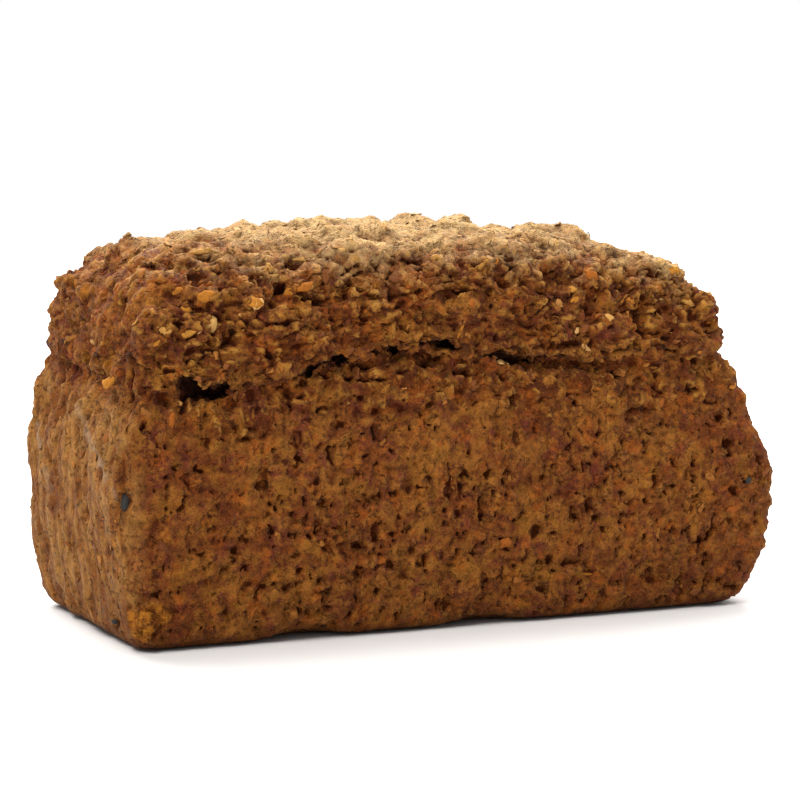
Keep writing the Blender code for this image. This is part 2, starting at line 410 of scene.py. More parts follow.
def keep_fact(obj, name, values):
    fact = obj.data.attributes.new(name, "FLOAT", "POINT")
    fact.data.foreach_set("value", np.asarray(values, dtype=np.float32))


def kept_fact(obj, name):
    values = np.empty(len(obj.data.vertices), dtype=np.float32)
    obj.data.attributes[name].data.foreach_get("value", values)
    return values


def keep_facts(obj):
    """Height above the tear, share of tin wall, clearness of the table, and share of slot."""
    points = coordinates(obj.data)
    above = points[:, 2] - tear_height(points)
    torn_reach = np.interp(points[:, 0], *zip(*TORN_REACH))
    tin = 1 - ease(-1.0, -0.55, above / torn_reach + 0.35 * wander(points, 0.016, 5.0))
    keep_fact(obj, "above", above)
    keep_fact(obj, "tin", tin)
    keep_fact(obj, "clear", ease(0.0, 0.0035, points[:, 2]))
    side = 1 if obj.name == "crown" else -1
    past = side * tear_gape(points) / 2 - side * above
    # The slot is what lies past the tear, and what lies well behind the outside of the whole dough
    behind = np.zeros(len(points))
    near_tear = np.abs(above) < SLOT_REACH
    behind[near_tear] = [whole.find_nearest(Vector(point))[3] for point in points[near_tear]]
    keep_fact(obj, "slot", np.maximum(ease(0.0003, 0.0022, past), ease(0.0012, 0.0045, behind)))


for piece in (crown, body):
    keep_facts(piece)
    print(piece.name, "lies in the slot with", round(100 * float(kept_fact(piece, "slot").mean()), 1), "%")

# %% [markdown]
# ## Relief of the crown
# The risen dough is a heap of lumps the size of a fingertip, covered with smaller crumbs and with scales that
# end in sharp edges, with dark hollows between them. That could be sculpted by hand, but a node tree makes it
# all at once, and each size stays a number that can be changed. Lumps are the domes of a Voronoi pattern.
# Scales are Voronoi cells that each stand at their own height and slant, which gives the stepped look of
# layered flakes. The tree moves every point along its normal by the sum.

# %% Patterns that both skins share
def read_fact(wiring, name):
    inputs = {"Name": name}
    return wiring.add("GeometryNodeInputNamedAttribute", inputs, data_type="FLOAT").outputs["Attribute"]


def where_on_loaf(wiring):
    """The point's place, and its parts along the loaf and up it."""
    at = wiring.add("GeometryNodeInputPosition").outputs[0]
    parts = wiring.add("ShaderNodeSeparateXYZ", {0: at}).outputs
    return at, parts["X"], parts["Z"]


def centred_noise(wiring, where, size, detail=2.0):
    return wiring.math("SUBTRACT", wiring.noise(where, size, detail=detail), 0.5)


def lumps(wiring, where, size):
    """Domes of that size, about -0.5 to 0.5 high."""
    distance = wiring.cells(where, size, feature="SMOOTH_F1").outputs["Distance"]
    return wiring.math("SUBTRACT", 0.45, distance)


def scales(wiring, where, size, slant):
    """Cells with their own height and slant, about -0.5 to 0.5 high."""
    cells = wiring.cells(where, size)
    centred = wiring.vector("SUBTRACT", cells.outputs["Color"], (0.5, 0.5, 0.5))
    from_middle = wiring.vector("SUBTRACT", where, cells.outputs["Position"])
    tilt = wiring.math("MULTIPLY", wiring.vector("DOT_PRODUCT", from_middle, centred), slant / size)
    height = wiring.vector("DOT_PRODUCT", centred, (0.4, 0.4, 0.4))
    return wiring.math("ADD", tilt, height)


def crests(wiring, where, size, detail=2.0):
    """Sharp winding ridges, 0 to 1 high, along the lines where a noise crosses its middle value."""
    off_middle = centred_noise(wiring, where, size, detail)
    return wiring.ramp(wiring.math("ABSOLUTE", off_middle), 0.20, 0.0, smooth=False)


# Taken off the crests, this leaves the skin's average height as it was
CREST_AVERAGE = 0.65


def level_crests(wiring, where, size, detail=2.0):
    return wiring.math("SUBTRACT", crests(wiring, where, size, detail), CREST_AVERAGE)


def raised(wiring, geometry, heights, mask):
    """Moves the surface along its normal by the sum of heights, each a pair of a field and a size."""
    total = 0.0
    for field, size in heights:
        total = wiring.math("MULTIPLY_ADD", field, size, total)
    total = wiring.math("MULTIPLY", total, mask)
    normal = wiring.add("GeometryNodeInputNormal").outputs[0]
    inputs = {"Geometry": geometry, "Offset": wiring.scaled(normal, total)}
    return wiring.add("GeometryNodeSetPosition", inputs).outputs[0]


# %% The crown's tree
CROWN_SIZES = {
    "Lump height": 1.8 * MM, "Crest height": 1.6 * MM, "Fold depth": 1.1 * MM, "Hollow depth": 2.7 * MM,
    "Sink": 0.3 * MM, "Scale height": 1.0 * MM, "Blob height": 2.0 * MM, "Fine crest height": 0.6 * MM,
    "Crumb height": 1.0 * MM,
}


def crown_relief():
    tree, wiring, start, end = relief_tree("crown relief")
    size = number_inputs(tree, start, CROWN_SIZES)
    at, along, height = where_on_loaf(wiring)
    # The left end and the broad top have the lowest lumps
    clear = wiring.times(read_fact(wiring, "clear"), wiring.ramp(along, -80 * MM, -93 * MM, 1.0, 0.55))
    coarse = wiring.times(clear, wiring.ramp(height, 97 * MM, 109 * MM, 1.0, 0.32))
    bent = wiring.warp(at, 7.0 * MM, 3.0 * MM)
    layered = wiring.stretch(bent, (1.0, 1.0, 1.8))
    hollow = wiring.ramp(wiring.noise(bent, 9.0 * MM, detail=1.5), 0.38, 0.28)
    folds = wiring.ramp(crests(wiring, layered, 10.0 * MM), 0.80, 1.0)
    made = raised(wiring, start.outputs["Geometry"], (
        (lumps(wiring, bent, 10.0 * MM), size["Lump height"]),
        (level_crests(wiring, layered, 8.0 * MM), size["Crest height"]),
        (wiring.times(folds, -1.0), size["Fold depth"]),
        (wiring.times(hollow, -1.0), size["Hollow depth"]),
        (-1.0, size["Sink"]),
    ), coarse)
    # Crumbs and scales lie on those lumps, few where the dough is smooth and many where it is flaky
    rough = wiring.warp(layered, 2.0 * MM, 0.9 * MM)
    flaky = wiring.ramp(wiring.noise(at, 17.0 * MM, detail=1.0), 0.42, 0.58, 0.25, 1.0)
    made = raised(wiring, made, (
        (scales(wiring, rough, 5.4 * MM, 1.5), size["Scale height"]),
        (lumps(wiring, rough, 4.2 * MM), size["Blob height"]),
        (level_crests(wiring, rough, 3.2 * MM, detail=1.0), size["Fine crest height"]),
        (centred_noise(wiring, rough, 2.4 * MM, detail=1.0), size["Crumb height"]),
    ), wiring.times(clear, wiring.ramp(height, 99 * MM, 110 * MM, 1.0, 0.65), flaky))
    tree.links.new(made, end.inputs["Geometry"])
    return tree


# %% [markdown]
# ## Relief of the walls
# The tin left the walls flat, but pitted: air caught against the metal makes pits with steep rims, crowded in
# some places and rare in others. Just below the tear the dough was drawn out into strands and lumps. The left
# end slid down the tin and has shallow upright grooves. Each is one step of the tree, with a mask that says
# where it holds, so that the steps blend into each other.

# %% Pits and swells of the wall
WALL_SIZES = {
    "Pit depth": 1.9 * MM, "Swell height": 1.5 * MM, "Side lump height": 1.9 * MM,
    "Side crumb height": 2.2 * MM, "Torn lump height": 1.9 * MM, "Torn scale height": 1.0 * MM,
    "Strand height": 1.5 * MM, "Torn crumb height": 2.2 * MM, "Gap depth": 2.2 * MM,
    "Groove depth": 1.3 * MM, "End swell height": 2.6 * MM,
}


def pitted(wiring, geometry, size, rough, mask):
    at, along, height = where_on_loaf(wiring)
    upright = wiring.stretch(rough, (1.0, 1.0, 0.75))
    # Pits crowd in some places and are rare in others, and there are more of them low down
    crowd = wiring.ramp(wiring.noise(at, 24 * MM, detail=1.0), 0.36, 0.66, 0.640, 0.560, smooth=False)
    crowd = wiring.math("ADD", crowd, wiring.ramp(height, 38 * MM, 58 * MM, -0.008, 0.022))
    # Each has a steep rim, and its own depth
    over = wiring.math("SUBTRACT", wiring.noise(upright, 3.4 * MM, detail=2.0, roughness=0.55), crowd)
    deep = wiring.ramp(wiring.noise(at, 5 * MM, detail=0.0), 0.35, 0.65, 0.45, 1.0)
    pits = wiring.times(wiring.ramp(over, 0.0, 0.035), deep)
    dents = wiring.ramp(wiring.noise(upright, 6.0 * MM, detail=2.0), 0.56, 0.70, 0.0, 0.55)
    on_side = wiring.ramp(along, -94 * MM, -86 * MM, 0.25, 1.0)
    busy = wiring.times(on_side, wiring.ramp(along, -30 * MM, 10 * MM, 1.3, 0.8))
    crumbs = centred_noise(wiring, rough, 2.4 * MM, detail=1.0)
    return raised(wiring, geometry, (
        (wiring.times(pits, on_side, -1.0), size["Pit depth"]),
        (wiring.times(dents, on_side, -1.0), size["Pit depth"]),
        (centred_noise(wiring, at, 11 * MM), size["Swell height"]),
        (wiring.times(lumps(wiring, rough, 4.2 * MM), busy), size["Side lump height"]),
        (wiring.times(crumbs, on_side), size["Side crumb height"]),
    ), mask)


# %% The torn band and the left end
def drawn_out(wiring, geometry, size, rough, mask):
    """Upright strands where the dough tore, most of all towards the left, with lumps and gaps between."""
    _, along, _ = where_on_loaf(wiring)
    flat = wiring.stretch(rough, (1.0, 1.0, 1.7))
    drawn = wiring.stretch(rough, (1.0, 1.0, 0.45))
    strands = level_crests(wiring, drawn, 4.5 * MM, detail=1.0)
    gaps = wiring.ramp(wiring.noise(flat, 6.5 * MM, detail=1.5), 0.39, 0.30)
    return raised(wiring, geometry, (
        (lumps(wiring, flat, 6.5 * MM), size["Torn lump height"]),
        (scales(wiring, rough, 3.6 * MM, 1.2), size["Torn scale height"]),
        (wiring.times(strands, wiring.ramp(along, -55 * MM, -20 * MM, 1.0, 0.5)), size["Strand height"]),
        (centred_noise(wiring, rough, 2.2 * MM), size["Torn crumb height"]),
        (wiring.times(gaps, -1.0), size["Gap depth"]),
    ), mask)


def grooved(wiring, geometry, size, rough, mask):
    """Shallow upright grooves and swells of the left end, stronger towards its top."""
    _, along, height = where_on_loaf(wiring)
    streaked = wiring.stretch(rough, (1.0, 1.0, 0.3))
    grooves = level_crests(wiring, streaked, 7.0 * MM)
    grooves = wiring.times(grooves, wiring.ramp(height, 35 * MM, 65 * MM, 0.8, 2.0))
    swells = centred_noise(wiring, streaked, 9.0 * MM, detail=1.0)
    heights = ((grooves, size["Groove depth"]), (swells, size["End swell height"]))
    at_end = wiring.times(wiring.ramp(along, -86 * MM, -94 * MM), mask)
    return raised(wiring, geometry, heights, at_end)


def wall_relief():
    tree, wiring, start, end = relief_tree("wall relief")
    size = number_inputs(tree, start, WALL_SIZES)
    at, _, _ = where_on_loaf(wiring)
    rough = wiring.warp(at, 2.2 * MM, 1.2 * MM)
    tin, clear = read_fact(wiring, "tin"), read_fact(wiring, "clear")
    on_tin = wiring.times(tin, clear)
    on_band = wiring.times(wiring.math("SUBTRACT", 1.0, tin), clear)
    made = pitted(wiring, start.outputs["Geometry"], size, rough, on_tin)
    made = drawn_out(wiring, made, size, rough, on_band)
    made = grooved(wiring, made, size, rough, on_tin)
    tree.links.new(made, end.inputs["Geometry"])
    return tree


# %% Relief, then as few triangles as it needs
SKIN_TRIANGLES = 192_000


def carved(obj, tree):
    modifier = obj.modifiers.new("relief", "NODES")
    modifier.node_group = tree
    return plain_mesh(obj, obj.name)


def thinned(obj):
    obj.data.calc_loop_triangles()
    ratio = min(1.0, SKIN_TRIANGLES / len(obj.data.loop_triangles))
    thin = with_modifier(obj, "DECIMATE", ratio=ratio, use_collapse_triangulate=True)
    print(thin.name, "has", len(thin.data.polygons), "triangles")
    return thin


crown = thinned(carved(crown, crown_relief()))
body = thinned(carved(body, wall_relief()))

# %% [markdown]
# ## Finding a place from the photograph
# Some pits, lumps and flakes stand out so much that they need their true place. Measuring them in all three
# directions would be slow. Their pixel in the photograph is turned into a ray from the camera instead, and
# where the ray meets the crust is the place, however uneven the crust is there.

# %% From a pixel to the crust
# The direction out of the crust at a pixel is the average over pixels this far to each side of it
PIXEL_STEP = 4
# A pixel just outside the loaf's outline moves this share of its way to the middle until it meets the crust
STEP_INWARDS = 0.01

bpy.context.view_layer.update()
skins = [search_tree(piece) for piece in (crown, body)]


def on_crust(column, row):
    """Place and outward direction of the crust at a pixel of the photograph, or just inside the outline."""
    half = FRAME_PIXELS / 2
    while True:
        ray = Vector(((column - half) / FOCAL_PIXELS, (half - row) / FOCAL_PIXELS, -1.0)).normalized()
        ray = camera.matrix_world.to_3x3() @ ray
        hits = [skin.ray_cast(camera.location, ray) for skin in skins]
        hits = [hit for hit in hits if hit[0] is not None]
        if hits:
            place, normal, _, _ = min(hits, key=lambda hit: hit[3])
            return place, normal
        column += STEP_INWARDS * (half - column)
        row += STEP_INWARDS * (half - row)


def lie_of(column, row, turn):
    """Place, outward, long and side directions of a thing on the crust, turned as in the picture."""
    place, normal = on_crust(column, row)
    steps = ((-PIXEL_STEP, 0), (PIXEL_STEP, 0), (0, -PIXEL_STEP), (0, PIXEL_STEP))
    around = [on_crust(column + dx, row + dy)[1] for dx, dy in steps]
    normal = (normal + sum(around, Vector())).normalized()
    turned = Vector((math.cos(math.radians(turn)), math.sin(math.radians(turn)), 0.0))
    long_way = camera.matrix_world.to_3x3() @ turned
    long_way = (long_way - normal * long_way.dot(normal)).normalized()
    return place, normal, long_way, normal.cross(long_way)


print("the middle of the picture meets the crust at", tuple(round(c, 4) for c in on_crust(400, 400)[0]))

# %% [markdown]
# ## Pits and lumps that stand out
# Every loaf has its own marks, and these are the ones that the eye finds first. They could be cut with small
# solids, but a real pit has soft, uneven rims, so the skin's own points are pushed in along an oval instead,
# and pulled out where a lump stands.

# %% Pits and lumps by pixel
# Pixel, length and width in mm, turn in degrees from level, depth in mm (below zero for a lump)
PITS = (
    (461, 490, 6.0, 2.0, 84, 2.2), (494, 495, 3.4, 1.3, 80, 1.8), (481, 516, 3.8, 1.6, 75, 1.8),
    (536, 532, 5.0, 3.4, 70, 2.0), (390, 565, 3.2, 3.0, 0, 1.9), (422, 564, 3.6, 2.2, 0, 1.9),
    (355, 545, 4.8, 2.0, -20, 1.7), (570, 562, 7.6, 2.2, 12, 1.9), (604, 479, 3.0, 2.0, 70, 1.7),
    (542, 479, 2.8, 1.6, 60, 1.6), (332, 534, 4.4, 1.2, -25, 1.5), (474, 550, 3.6, 1.2, 85, 1.5),
    (125, 503, 6.4, 4.2, 86, 1.5), (234, 550, 3.0, 2.8, 0, 1.9), (203, 556, 2.0, 1.8, 0, 1.6),
    (290, 587, 6.2, 2.2, 14, 1.7), (268, 516, 2.4, 1.5, 80, 1.6), (144, 425, 3.6, 1.8, 60, 2.2),
    (168, 492, 5.6, 1.0, 88, 1.3), (261, 587, 3.0, 1.6, 0, 1.5), (244, 568, 2.8, 1.8, 40, 1.6),
    (63, 411, 5.0, 4.6, 88, 1.5), (87, 513, 6.0, 6.5, 86, 1.6), (117, 623, 2.8, 3.4, 0, 1.4),
    (633, 412, 6.0, 1.8, 6, 2.2), (719, 419, 3.4, 2.4, -20, 2.2), (693, 316, 3.6, 3.2, 0, 2.2),
    (340, 426, 3.2, 2.6, 30, 1.9), (207, 259, 7.2, 2.2, 4, 2.4), (148, 267, 6.4, 2.6, -8, 2.4),
    (344, 291, 6.4, 3.4, 80, 2.6), (122, 292, 10.5, 2.4, 82, 2.0), (96, 344, 4.6, 3.4, 20, 2.6),
    (472, 262, 5.6, 2.4, -10, 2.4), (296, 440, 5.4, 4.2, 70, 1.6), (184, 405, 7.0, 2.0, 80, 1.6),
    (131, 380, 9.0, 1.8, 80, 1.7), (158, 450, 6.0, 1.6, 75, 1.4), (598, 292, 5.0, 2.0, -30, 2.0),
    (649, 322, 7.0, 6.0, 0, -1.5), (296, 440, 2.6, 2.2, 60, -1.2), (640, 398, 8.0, 4.6, -10, -1.6),
    (506, 250, 7.0, 4.0, 0, -1.0), (262, 341, 5.0, 4.4, 0, -1.3), (318, 340, 6.0, 4.4, 0, -1.2),
    (252, 303, 5.0, 3.4, 0, -1.2), (305, 289, 9.0, 3.2, 8, -1.2), (576, 571, 8.4, 1.8, 10, -0.9),
    (690, 352, 7.0, 5.0, -40, -1.4), (236, 356, 8.0, 5.0, 10, -1.6), (205, 251, 7.0, 1.8, 6, -1.0),
)
# Points further than this from the oval's plane are on another lump
PIT_REACH = 4 * MM


def pressed(obj):
    """Presses the pits into the skin and raises the lumps."""
    points = coordinates(obj.data)
    jitter = wander(points, 0.0016, 6.0)
    for column, row, length, width, turn, depth in PITS:
        place, normal, long_way, side_way = lie_of(column, row, turn)
        away = points - np.array(place)
        along = away @ np.array(long_way) / (0.5 * length * MM)
        aside = away @ np.array(side_way) / (0.5 * width * MM)
        near = ease(1.25, 0.55, np.hypot(along, aside) + 0.35 * jitter)
        near *= np.abs(away @ np.array(normal)) < PIT_REACH
        points -= near[:, None] * np.array(normal) * depth * MM
    move_points(obj.data, points)


# %% [markdown]
# ## Smears and open crumb
# Two things are told from the crust by colour more than by form: thin grey-lilac smears on the left end,
# partly grey patches and partly a painted sheen along its corner, and a patch near the bottom corner where
# the crust came off and orange crumb shows. Their places are kept as facts on the skin. The crust's material
# reads both, and a small tree roughens the crumb.

# %% Smears and crumb by pixel
# Each smear runs from pixel to pixel, with a half width in metres and a strength. Those from about pixel 76
# to
# 116 follow a shiny strip down the end and are painted sheen, the two further left are grey patches
SMEARS_AND_SHEEN = (
    ((76, 408), (86, 432), 0.0012, 0.3), ((86, 432), (97, 455), 0.0010, 0.4),
    ((97, 455), (105, 478), 0.0009, 0.5), ((38, 425), (40, 445), 0.0011, 0.4),
    ((45, 470), (50, 488), 0.0014, 0.2), ((108, 478), (116, 498), 0.0007, 0.3),
)
# Pixel and reach in metres
CRUMB_PATCH = (((137, 622), 0.0042), ((150, 618), 0.0044), ((160, 614), 0.0036), ((142, 630), 0.0032))


def near_line(points, first, second):
    """Distance of each point from the straight line between two places."""
    span = np.array(second - first)
    share = np.clip((points - np.array(first)) @ span / (span @ span), 0.0, 1.0)
    return np.linalg.norm(points - np.array(first) - share[:, None] * span, axis=1)


def keep_places(obj):
    points = coordinates(obj.data)
    jitter = wander(points, 0.0024, 8.0)
    smear_and_sheen = np.zeros(len(points))
    for first, second, half_width, strength in SMEARS_AND_SHEEN:
        distance = near_line(points, on_crust(*first)[0], on_crust(*second)[0])
        smear_and_sheen = np.maximum(smear_and_sheen, strength * ease(1.6, 0.5, distance / half_width + 0.5 * jitter))
    crumb = np.zeros(len(points))
    for pixel, reach in CRUMB_PATCH:
        distance = np.linalg.norm(points - np.array(on_crust(*pixel)[0]), axis=1)
        crumb = np.maximum(crumb, ease(1.0, 0.8, distance / reach + 0.35 * jitter))
    keep_fact(obj, "smear_and_sheen", smear_and_sheen)
    keep_fact(obj, "crumb", crumb)


for piece in (crown, body):
    keep_places(piece)
    pressed(piece)
print("pits and lumps pressed:", len(PITS), "smears:", len(SMEARS_AND_SHEEN))

# %% The open crumb's relief
CRUMB_SIZES = {"Crumb scale height": 1.5 * MM, "Crumb grain height": 1.4 * MM}


def crumb_relief():
    """Roughens the patch of open crumb."""
    tree, wiring, start, end = relief_tree("open crumb")
    size = number_inputs(tree, start, CRUMB_SIZES)
    at, _, _ = where_on_loaf(wiring)
    made = raised(wiring, start.outputs["Geometry"], (
        (scales(wiring, wiring.warp(at, 1.5 * MM, 0.8 * MM), 2.2 * MM, 1.4), size["Crumb scale height"]),
        (wiring.noise(at, 1.6 * MM), size["Crumb grain height"]),
    ), read_fact(wiring, "crumb"))
    tree.links.new(made, end.inputs["Geometry"])
    return tree


body = carved(body, crumb_relief())
print("open crumb covers", int((kept_fact(body, "crumb") > 0.5).sum()), "points of the body's skin")

# %% [markdown]
# ## Hollows and ridges
# The crust is darker where it dips and paler on the edges that stand proud. The dark is partly the crust's
# own colour and partly painted shade, and the pale is partly straw and partly painted highlight. A second
# small
# tree measures that: each point is compared with the average of its neighbourhood, once close by and once
# further off, and the difference along the normal is kept as a fact that the colours read.

# %% A tree that measures hollows
# Name, smoothing passes and the height that counts as 1
HOLLOW_SCALES = (("fine", 5, 0.40 * MM), ("broad", 40, 1.3 * MM))


def hollows_tree():
    tree, wiring, start, end = relief_tree("hollows")
    made = start.outputs["Geometry"]
    at, _, _ = where_on_loaf(wiring)
    normal = wiring.add("GeometryNodeInputNormal").outputs[0]
    for name, passes, full in HOLLOW_SCALES:
        blur = wiring.add("GeometryNodeBlurAttribute", {"Iterations": passes}, data_type="FLOAT_VECTOR")
        vectors = [socket for socket in blur.inputs if socket.type == "VECTOR"]
        tree.links.new(at, vectors[0])
        blurred = next(socket for socket in blur.outputs if socket.type == "VECTOR")
        proud = wiring.vector("DOT_PRODUCT", wiring.vector("SUBTRACT", at, blurred), normal)
        inputs = {"Geometry": made, "Name": name, "Value": wiring.math("DIVIDE", proud, full)}
        made = wiring.add("GeometryNodeStoreNamedAttribute", inputs, data_type="FLOAT").outputs[0]
    tree.links.new(made, end.inputs["Geometry"])
    return tree


crown = carved(crown, hollows_tree())
body = carved(body, hollows_tree())
for piece in (crown, body):
    for name in ("fine", "broad"):
        print(piece.name, name, "5%, 50%, 95%:", np.percentile(kept_fact(piece, name), (5, 50, 95)).round(2))

# %% [markdown]
# ## Colours of the crust
# The dough is ochre, with purple-brown patches a few centimetres wide and spots of mauve, rust and amber from
# the wholegrain flour. On top of that come a fine mottling, dark hollows and pale ridges. A painted picture
# would have to be wrapped round the loaf and would stretch over its lumps, so each colour is a pattern in
# space, mixed in one after the other. Bits of grain on the crust are mottled in the same way, so that effect
# is a shader group that every material here uses. Colours are read off the photograph as screen values, and
# turned into the linear values that Blender mixes.

# %% Colours
def linear(red, green, blue):
    values = (red / 255, green / 255, blue / 255)
    return tuple(v / 12.92 if v <= 0.04045 else ((v + 0.055) / 1.055) ** 2.4 for v in values) + (1.0,)


OCHRE = linear(137, 85, 34)
PURPLE_BROWN = linear(100, 51, 22)
ORANGE_BROWN = linear(140, 72, 23)
# Partly the crust's own colour in its dips, and partly painted shade in dips, pinholes and crevices
HOLLOW_BROWN_AND_SHADE = linear(60, 20, 2)
# Painted shade inside the slot of the tear
SLOT_SHADE_BROWN = linear(44, 14, 2)
# Partly the straw of flake edges and partly painted highlight on proud places
RIDGE_STRAW_AND_HIGHLIGHT = linear(172, 122, 52)
CROWN_BROWN = linear(88, 43, 17)
# Painted sheen: the pale straw on top of the crown stands in for the light that grazes it
TOP_PAINTED_SHEEN = linear(192, 161, 112)
# Painted light: the left end's pale tan stands in for the window's light and sheen on it
END_TAN_PAINTED_LIGHT = linear(152, 110, 58)
END_UMBER = linear(108, 62, 26)
MAUVE = linear(96, 44, 32)
AMBER = linear(138, 90, 30)
# Partly grey patches of the left end and partly a painted sheen along its corner
LILAC_GREY_AND_SHEEN = linear(150, 130, 108)
CRUMB_ORANGE = linear(176, 112, 34)
CRUMB_RUST = linear(104, 54, 16)

# Bread has next to no gloss, and a soft pale sheen of flour dust at its edges
GLOSS = 0.05
SHEEN = 0.04
SHEEN_ROUGHNESS = 0.35
SHEEN_TINT = (1.0, 0.88, 0.68, 1.0)
print("ochre in linear values:", tuple(round(value, 3) for value in OCHRE[:3]))


# %% The shared grain
def grain_group():
    """A shader group for every baked surface: speckles, pinholes and crevices, and their height."""
    tree = bpy.data.node_groups.new("baked grain", "ShaderNodeTree")
    tree.interface.new_socket("Size", in_out="INPUT", socket_type="NodeSocketFloat")
    for name in ("Mottle", "Height", "Hole", "Grit", "Crevice"):
        tree.interface.new_socket(name, in_out="OUTPUT", socket_type="NodeSocketFloat")
    wiring = Wiring(tree)
    start, end = wiring.add("NodeGroupInput"), wiring.add("NodeGroupOutput")
    at = wiring.add("ShaderNodeTexCoord").outputs["Object"]
    grown = wiring.scaled(at, wiring.math("DIVIDE", 1.0, start.outputs["Size"]))
    mottle = wiring.noise(grown, 1.0, detail=4.0, roughness=0.65)
    specks = wiring.noise(grown, 0.28, detail=2.0, roughness=0.6)
    grit = wiring.noise(grown, 0.17, detail=2.0, roughness=0.7)
    # A pinhole sits in the middle of every third cell or so
    cells = wiring.cells(grown, 0.42)
    chosen = wiring.ramp(wiring.vector("DOT_PRODUCT", cells.outputs["Color"], (0.0, 1.0, 0.0)), 0.55, 1.0)
    reach = wiring.math("MULTIPLY_ADD", chosen, 0.42, wiring.math("MULTIPLY", specks, 0.3))
    hole = wiring.ramp(wiring.math("SUBTRACT", reach, cells.outputs["Distance"]), 0.10, 0.22)
    # Crevices are short winding lines, broken up by a second noise
    bent = wiring.warp(grown, 0.8, 0.35)
    off_middle = wiring.math("ABSOLUTE", wiring.math("SUBTRACT", wiring.noise(bent, 1.15, detail=1.0), 0.5))
    broken = wiring.ramp(wiring.noise(grown, 0.8, detail=1.0), 0.52, 0.64)
    crevice = wiring.times(wiring.ramp(off_middle, 0.060, 0.010), broken)
    height = wiring.math("MULTIPLY_ADD", specks, 0.6, wiring.math("MULTIPLY", hole, -0.7))
    height = wiring.math("MULTIPLY_ADD", grit, 0.35, height)
    height = wiring.math("MULTIPLY_ADD", crevice, -0.7, height)
    found = {"Mottle": mottle, "Height": height, "Hole": hole, "Grit": grit, "Crevice": crevice}
    for name, value in found.items():
        tree.links.new(value, end.inputs[name])
    return tree


GRAIN = grain_group()
print("the grain group has", len(GRAIN.nodes), "nodes")


# %% Helpers for materials
def mixed(wiring, share, first, second):
    return wiring.add("ShaderNodeMix", {0: share, 6: first, 7: second}, data_type="RGBA").outputs[2]


def fact(wiring, name):
    return wiring.add("ShaderNodeAttribute", attribute_name=name).outputs["Fac"]


def baked_material(name):
    """A new material with the shared grain in it: its wiring, its shader and the grain node."""
    material = bpy.data.materials.new(name)
    material.use_nodes = True
    wiring = Wiring(material.node_tree)
    shader = material.node_tree.nodes["Principled BSDF"]
    grain = wiring.add("ShaderNodeGroup")
    grain.node_tree = GRAIN
    return material, wiring, shader, grain


def finish_shader(wiring, shader, colour, roughness, height, strength, distance):
    bump = wiring.add("ShaderNodeBump", {"Height": height, "Strength": strength, "Distance": distance})
    for socket, value in (("Base Color", colour), ("Roughness", roughness), ("Normal", bump.outputs[0])):
        wiring.tree.links.new(value, shader.inputs[socket])
    shader.inputs["Specular IOR Level"].default_value = GLOSS
    shader.inputs["Sheen Weight"].default_value = SHEEN
    shader.inputs["Sheen Roughness"].default_value = SHEEN_ROUGHNESS
    shader.inputs["Sheen Tint"].default_value = SHEEN_TINT


# %% The dough's own colour
WIDE_PATCH = 22 * MM
FINE_PATCH = 5 * MM
TONED_LUMP = 4.4 * MM
TONE_PATCH = 6 * MM
FLOUR_SPOT = 6.5 * MM
# Which channel of the spots, its tint, and the most of it that is mixed in
SPOT_TINTS = (((1, 0, 0), MAUVE, 0.85), ((0, 1, 0), ORANGE_BROWN, 0.75), ((0, 0, 1), AMBER, 0.55))


def dough_colour(wiring, at, parts, wide):
    """Ochre and purple-brown in one fine mottle on the wall, and a colour for each lump of the crown."""
    narrow = wiring.noise(at, FINE_PATCH, detail=6.0, roughness=0.72)
    from_middle = wiring.math("ABSOLUTE", parts["X"])
    purple = wiring.math("ADD", narrow, wiring.ramp(from_middle, 58 * MM, 82 * MM, 0.0, 0.07))
    patches = wiring.ramp(wiring.math("MULTIPLY_ADD", wide, 0.45, purple), 0.63, 0.82, smooth=False)
    wall = mixed(wiring, patches, OCHRE, PURPLE_BROWN)

    lump = wiring.cells(wiring.warp(at, 3.0 * MM, 1.6 * MM), TONED_LUMP).outputs["Color"]
    own = wiring.vector("DOT_PRODUCT", lump, (0.30, 0.0, 0.0))
    tone = wiring.math("ADD", wiring.noise(at, TONE_PATCH, detail=5.0, roughness=0.68), own)
    # Proud places lean a little towards ochre, partly the crust's colour and partly painted highlight
    tone = wiring.math("MULTIPLY_ADD", fact(wiring, "broad"), 0.05, tone)
    # The crown is darkest near the tear, and palest high up at its right end, where the paleness is painted
    # light
    tone = wiring.math("ADD", tone, wiring.ramp(parts["Z"], 78 * MM, 100 * MM, -0.06, 0.0))
    right_end_painted_light = wiring.ramp(parts["X"], 45 * MM, 75 * MM, 0.0, 0.12)
    tone = wiring.math("MULTIPLY_ADD", right_end_painted_light, wiring.ramp(parts["Z"], 84 * MM, 96 * MM), tone)
    risen = mixed(wiring, wiring.ramp(tone, 0.56, 0.82, smooth=False), CROWN_BROWN, OCHRE)
    colour = mixed(wiring, fact(wiring, "tin"), risen, wall)

    # Spots of all sizes from the wholegrain flour lie over both
    spots = wiring.noise(at, FLOUR_SPOT, detail=6.0, roughness=0.78, output="Color")
    for channel, tint, most in SPOT_TINTS:
        amount = wiring.ramp(wiring.vector("DOT_PRODUCT", spots, channel), 0.50, 0.63, 0.0, most)
        colour = mixed(wiring, amount, colour, tint)
    return colour


print("spots of the flour:", len(SPOT_TINTS), "tints,", round(FLOUR_SPOT / MM, 1), "mm across")


# %% Painted sheen on top, and the streaked end with painted light
# The painted sheen: the noises raise a point by 25 mm on average, so it really sets in at a height of about
# 94 mm
SHEEN_PAINT_FROM = 119 * MM
SHEEN_PAINT_FULL = 142 * MM
STREAK_WIDTH = 4.5 * MM
# The left end's streaks and painted light set in along the loaf
END_FROM = -90 * MM
END_FULL = -96.5 * MM


